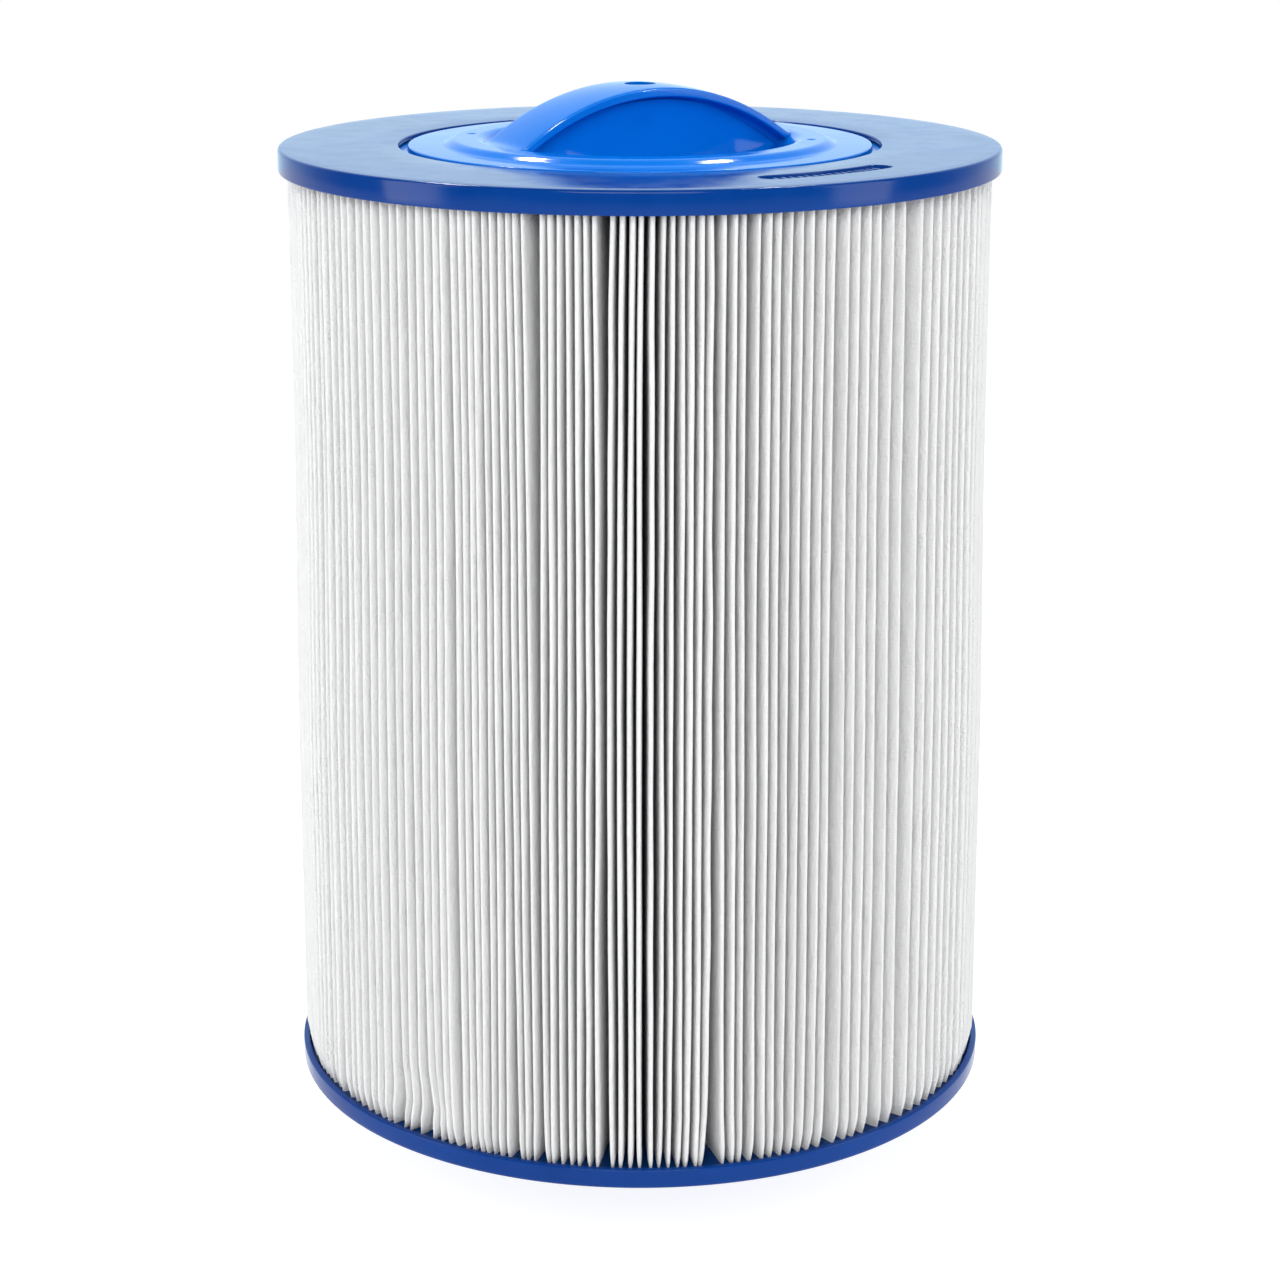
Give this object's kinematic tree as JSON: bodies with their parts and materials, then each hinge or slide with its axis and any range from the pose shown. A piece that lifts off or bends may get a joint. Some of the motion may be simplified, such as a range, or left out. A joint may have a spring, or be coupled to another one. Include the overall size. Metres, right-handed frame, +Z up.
{
  "type": "pleated filter cartridge",
  "caption": "Upright pleated water filter cartridge with a round top flange, a low arched lifting handle, a bottom cap and a threaded spigot.",
  "frame": {"origin": "centre of the threaded spigot's lower end ring, which the cartridge stands on", "axes": "+Z up along the cartridge's axis, from the spigot to the handle; the media's seam is at +Y, the label recess at -Y and +X"},
  "size_m": [0.1524, 0.1524, 0.2357],
  "materials": {
    "cap_blue": "glossy moulded blue, faint flow marks",
    "handle_blue": "glossy moulded bright blue",
    "resin_blue": "cast blue polyurethane, slightly uneven",
    "filter_sheet": "white spunbonded polyester felt, fuzzy",
    "core_white": "white moulded plastic",
    "clip_white": "white extruded plastic strip"
  },
  "bodies": {
    "root": {"top_end_cap": "cap_blue", "handle_insert": "handle_blue", "top_potting": "resin_blue", "pleated_media": "filter_sheet", "seam_clip": "clip_white", "core_section_1": "core_white", "core_section_2": "core_white", "bottom_potting": "resin_blue", "bottom_end_cap": "cap_blue", "threaded_adapter": "cap_blue"}
  },
  "joints": []
}
